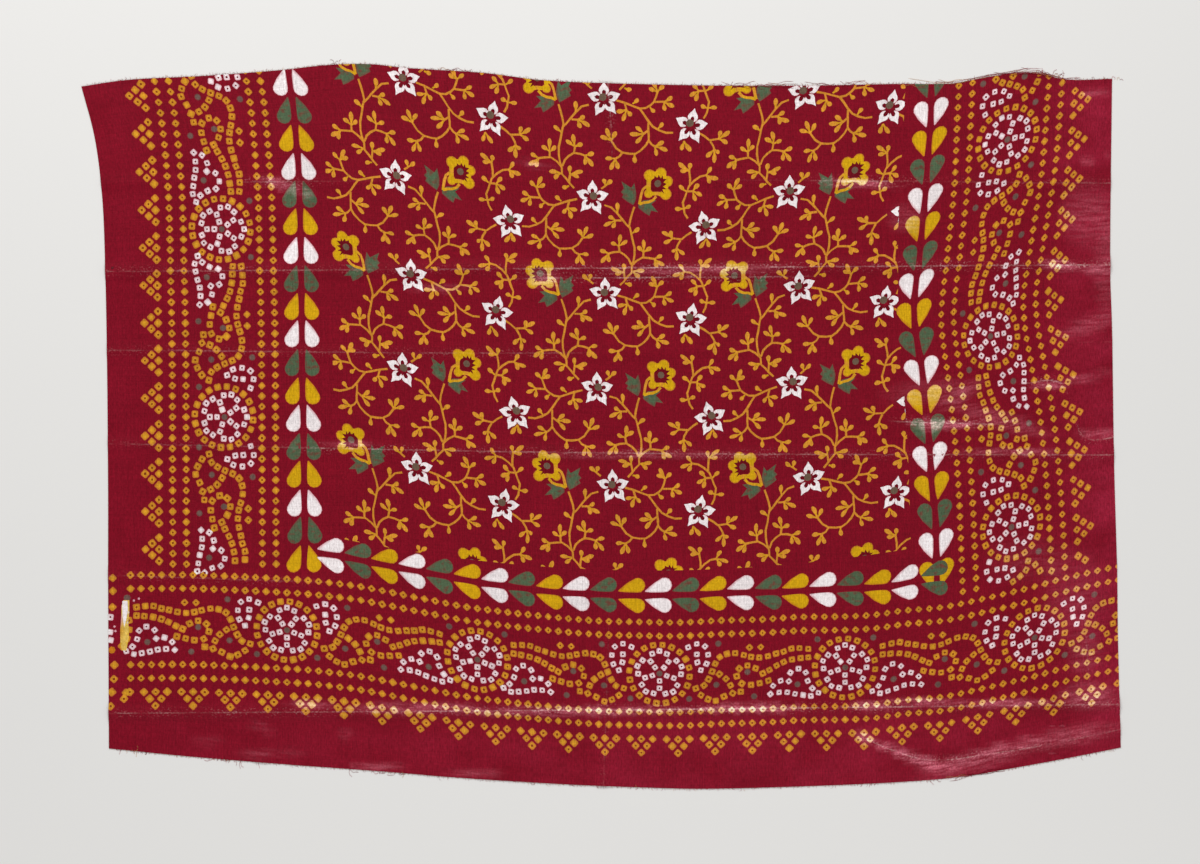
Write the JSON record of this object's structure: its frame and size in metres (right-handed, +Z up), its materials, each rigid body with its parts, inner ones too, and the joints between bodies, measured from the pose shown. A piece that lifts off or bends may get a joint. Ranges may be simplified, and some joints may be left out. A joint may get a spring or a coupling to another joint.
{
  "type": "printed textile",
  "caption": "Length of glazed red cotton printed with flowers and dotted borders, cut from the piece and laid flat with its fold lines standing up a little.",
  "frame": {"origin": "middle of the cloth's outline, on the surface it lies on", "axes": "+X across the cloth from side to side, +Y towards the cut top edge, +Z up from the surface"},
  "size_m": [0.763, 0.532, 0.0037],
  "materials": {
    "printed_cotton": "glazed plain weave, printed"
  },
  "bodies": {
    "root": {"cloth": "printed_cotton"}
  },
  "joints": []
}
